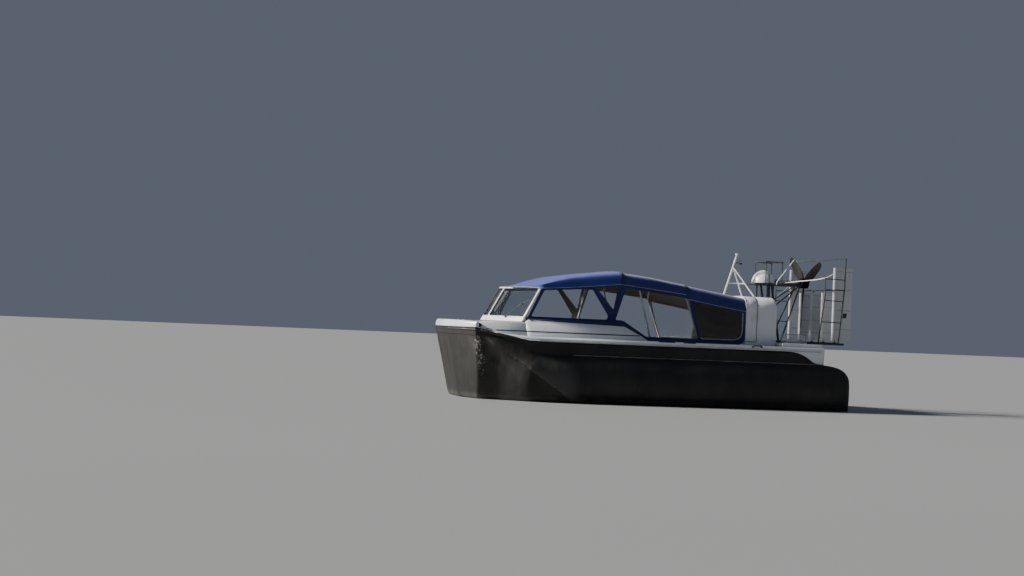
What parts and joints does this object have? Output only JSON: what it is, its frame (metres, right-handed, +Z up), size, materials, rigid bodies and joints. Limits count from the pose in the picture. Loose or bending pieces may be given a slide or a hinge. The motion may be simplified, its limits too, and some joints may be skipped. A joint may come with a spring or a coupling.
{
  "type": "light cabin hovercraft",
  "caption": "Light cabin hovercraft with a canvas top, inflated skirt, air propeller and rudders behind.",
  "frame": {"origin": "on the floor under the middle of the bounding box", "axes": "+X towards the bow, +Y to port, +Z up"},
  "size_m": [7.21, 3.484, 2.7524],
  "materials": {
    "white_gelcoat": null,
    "grey_trim": null,
    "steel": null,
    "engine_iron": null,
    "glass": null,
    "blue_canvas": null,
    "navy_canvas": null,
    "grey_tube": null,
    "black_plastic": null,
    "black_paint": null,
    "rudder_paint": null,
    "skirt_rubber": null,
    "seat_cover": null
  },
  "bodies": {
    "hull": {"hull_tub": "white_gelcoat", "landing_runner_port": "steel", "landing_runner_starboard": "steel", "rub_rail": "grey_trim", "bow_band": "white_gelcoat", "foredeck": "white_gelcoat", "coaming_port": "white_gelcoat", "coaming_starboard": "white_gelcoat", "stern_deck": "white_gelcoat", "windscreen_frame": "white_gelcoat", "windscreen_glass_centre": "glass", "windscreen_glass_port": "glass", "windscreen_glass_starboard": "glass", "canopy_front": "blue_canvas", "canopy_middle": "navy_canvas", "canopy_rear": "navy_canvas", "side_curtain_port": "navy_canvas", "side_curtain_starboard": "navy_canvas", "hoop_front": "grey_tube", "hoop_middle": "grey_tube", "hoop_rear": "grey_tube", "rear_bulkhead": "white_gelcoat", "engine_cover": "white_gelcoat", "engine_block": "engine_iron", "mast": "white_gelcoat", "tower": "black_paint", "pod": "white_gelcoat", "shaft_bearing": "steel", "rudder_cage": "black_paint", "skirt_side_port": "skirt_rubber", "skirt_side_starboard": "skirt_rubber", "skirt_stern": "skirt_rubber", "skirt_bow": "skirt_rubber", "seat_helm": "seat_cover", "seat_mate": "seat_cover", "bench_middle": "seat_cover", "bench_rear": "seat_cover", "dash": "black_plastic", "steering_wheel": "black_plastic"},
    "propeller": {"propeller": "black_paint"},
    "rudder_1": {"rudder_1": "rudder_paint"},
    "rudder_2": {"rudder_2": "rudder_paint"},
    "rudder_3": {"rudder_3": "rudder_paint"},
    "rudder_4": {"rudder_4": "rudder_paint"},
    "rudder_5": {"rudder_5": "rudder_paint"}
  },
  "joints": [
    {"name": "propeller_spin", "type": "hinge", "parent": "hull", "child": "propeller", "pos_m": [-3.105, 0, 2.25], "axis": [1, 0, 0], "continuous": true},
    {"name": "rudder_1_turn", "type": "hinge", "parent": "hull", "child": "rudder_1", "pos_m": [-3.31, 1, 1.6], "axis": [0, 0, 1], "range_deg": [-30, 30]},
    {"name": "rudder_2_turn", "type": "hinge", "parent": "hull", "child": "rudder_2", "pos_m": [-3.31, 0.5, 1.6], "axis": [0, 0, 1], "range_deg": [-30, 30]},
    {"name": "rudder_3_turn", "type": "hinge", "parent": "hull", "child": "rudder_3", "pos_m": [-3.31, 0, 1.6], "axis": [0, 0, 1], "range_deg": [-30, 30]},
    {"name": "rudder_4_turn", "type": "hinge", "parent": "hull", "child": "rudder_4", "pos_m": [-3.31, -0.5, 1.6], "axis": [0, 0, 1], "range_deg": [-30, 30]},
    {"name": "rudder_5_turn", "type": "hinge", "parent": "hull", "child": "rudder_5", "pos_m": [-3.31, -1, 1.6], "axis": [0, 0, 1], "range_deg": [-30, 30]}
  ],
  "couplings": [
    {"joint": "rudder_1_turn", "follows": "rudder_3_turn", "ratio": 1},
    {"joint": "rudder_2_turn", "follows": "rudder_3_turn", "ratio": 1},
    {"joint": "rudder_4_turn", "follows": "rudder_3_turn", "ratio": 1},
    {"joint": "rudder_5_turn", "follows": "rudder_3_turn", "ratio": 1}
  ]
}
